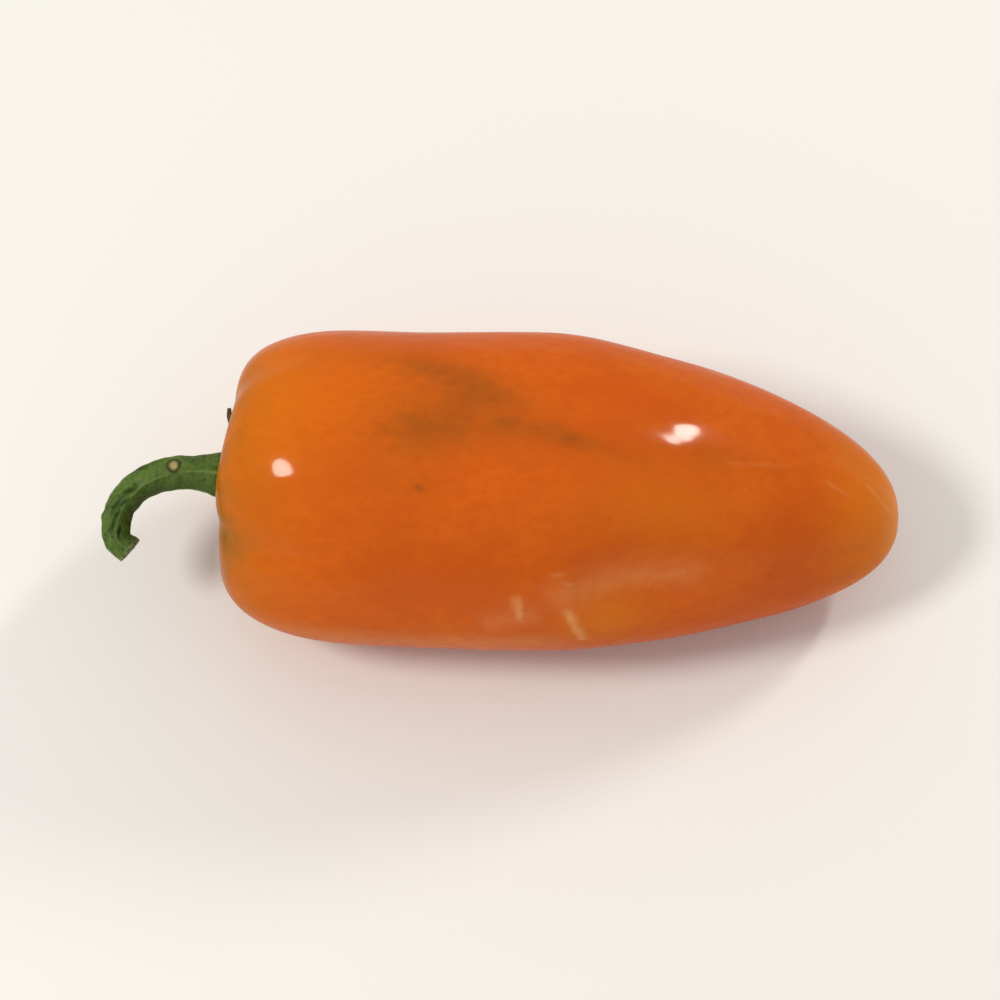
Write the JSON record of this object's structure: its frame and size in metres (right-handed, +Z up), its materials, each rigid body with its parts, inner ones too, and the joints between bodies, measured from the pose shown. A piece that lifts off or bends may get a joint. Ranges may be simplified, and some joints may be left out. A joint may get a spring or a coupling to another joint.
{
  "type": "mini sweet pepper",
  "caption": "Small tapering sweet pepper with glossy orange skin, shallow lobes, a blunt tip and a short hooked green stem, lying on its side.",
  "frame": {"origin": "middle of the part's box seen from above, on the surface it lies on", "axes": "+X runs from the stem end to the blossom tip, +Y to the back, +Z up"},
  "size_m": [0.0924, 0.0368, 0.0357],
  "materials": {
    "skin": "gloss",
    "stem": "satin"
  },
  "bodies": {
    "root": {"fruit": "skin", "stem_with_calyx": "stem"}
  },
  "joints": []
}
